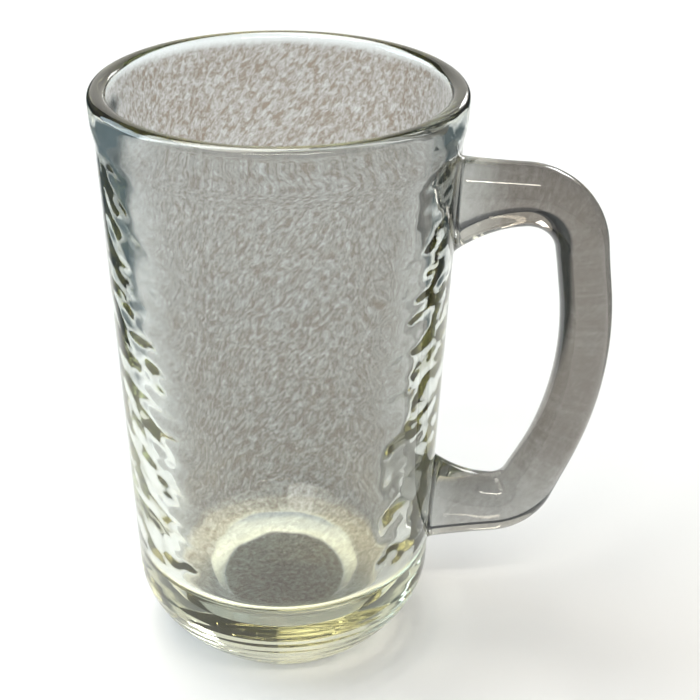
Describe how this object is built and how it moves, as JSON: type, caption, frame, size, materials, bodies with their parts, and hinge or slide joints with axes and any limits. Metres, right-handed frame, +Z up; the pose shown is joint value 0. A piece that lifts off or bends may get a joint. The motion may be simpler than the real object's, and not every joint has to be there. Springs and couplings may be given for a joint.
{
  "type": "beer mug",
  "caption": "Clear glass beer mug: a tapered vessel with a thick base, rounded heel and rolled lip, and a D-shaped handle fused to its side.",
  "frame": {"origin": "the middle of the foot, on the table plane and on the vessel's axis", "axes": "+Z up along the vessel's axis, +X from the axis to the handle, +Y across the handle"},
  "size_m": [0.1189, 0.083, 0.14],
  "materials": {
    "clear_glass": "fire-polished, clear, with a faint olive cast where the glass is thick"
  },
  "bodies": {
    "root": {"vessel": "clear_glass", "handle": "clear_glass"}
  },
  "joints": []
}
